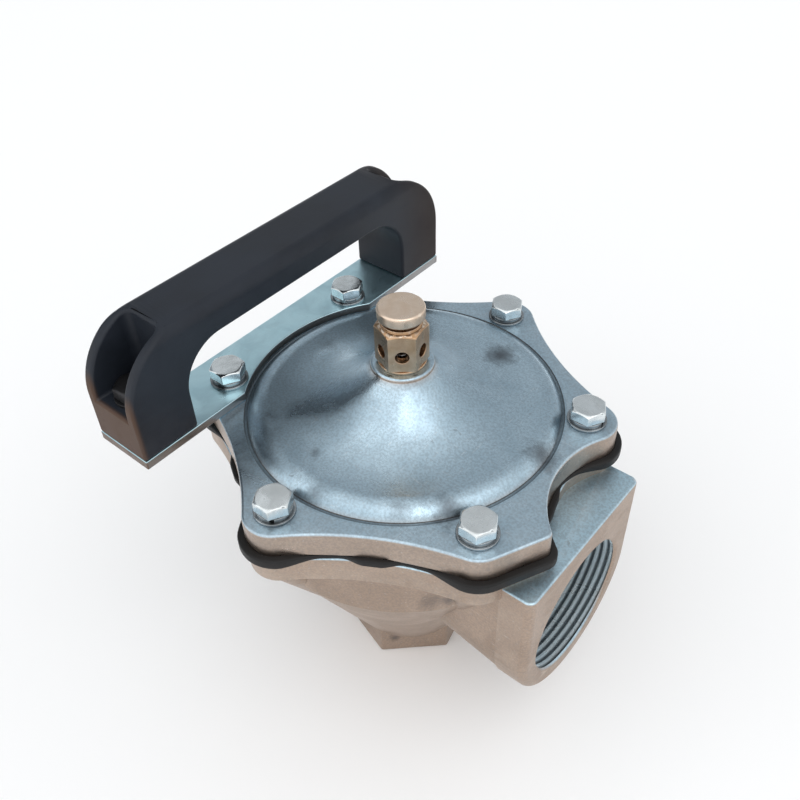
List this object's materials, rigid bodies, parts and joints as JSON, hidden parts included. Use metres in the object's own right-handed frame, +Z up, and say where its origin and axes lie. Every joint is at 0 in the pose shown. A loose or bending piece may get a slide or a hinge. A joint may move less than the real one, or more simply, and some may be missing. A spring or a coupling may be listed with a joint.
{
  "type": "quick exhaust valve",
  "caption": "Right-angle cast aluminium diaphragm valve with threaded side and bottom ports, a brass push-button pilot and a black bridge handle, for releasing a tank's air at once.",
  "frame": {"origin": "centre of the bottom port's mouth, on the underside of the foot", "axes": "+Z up the valve's axis towards the pilot, +X out of the side port; the handle is on the -X side"},
  "size_m": [0.1289, 0.1356, 0.1451],
  "materials": {
    "cast_aluminium": "cast, lightly polished",
    "black_rubber": "matt",
    "zinc_steel": "zinc plated, satin",
    "black_steel": "blackened, oiled",
    "zinc_strip": "blue zinc plated",
    "spring_steel": "drawn wire",
    "black_plastic": "moulded, fine grain",
    "brass": "turned"
  },
  "bodies": {
    "valve": {"valve_body": "cast_aluminium", "bonnet": "cast_aluminium", "diaphragm": "black_rubber", "main_spring": "spring_steel", "cover_bolts": "zinc_steel", "bracket_bolts": "zinc_steel", "spring_washers": "zinc_steel", "flat_washers": "zinc_steel", "handle_bracket": "zinc_strip", "handle": "black_plastic", "handle_screws": "black_steel", "handle_washers": "black_steel", "handle_nuts": "black_steel", "pilot_body": "brass", "pilot_gasket": "brass", "pilot_seat": "brass", "button_spring": "spring_steel"},
    "disc": {"upper_disc": "zinc_steel", "seat_pad": "black_rubber", "disc_screw": "zinc_steel", "disc_nut": "zinc_steel"},
    "button": {"push_button": "brass", "pilot_stem": "brass", "poppet": "black_rubber", "poppet_nut": "brass"}
  },
  "joints": [
    {"name": "disc_lift", "type": "slide", "parent": "valve", "child": "disc", "axis": [0, 0, 1], "range_m": [0, 0.006], "stiffness_N_per_m": 800, "springref_m": -0.005, "deforming": ["main_spring", "diaphragm"]},
    {"name": "button_press", "type": "slide", "parent": "valve", "child": "button", "axis": [0, 0, -1], "range_m": [0, 0.0013], "stiffness_N_per_m": 900, "springref_m": -0.003, "deforming": ["button_spring"]}
  ]
}
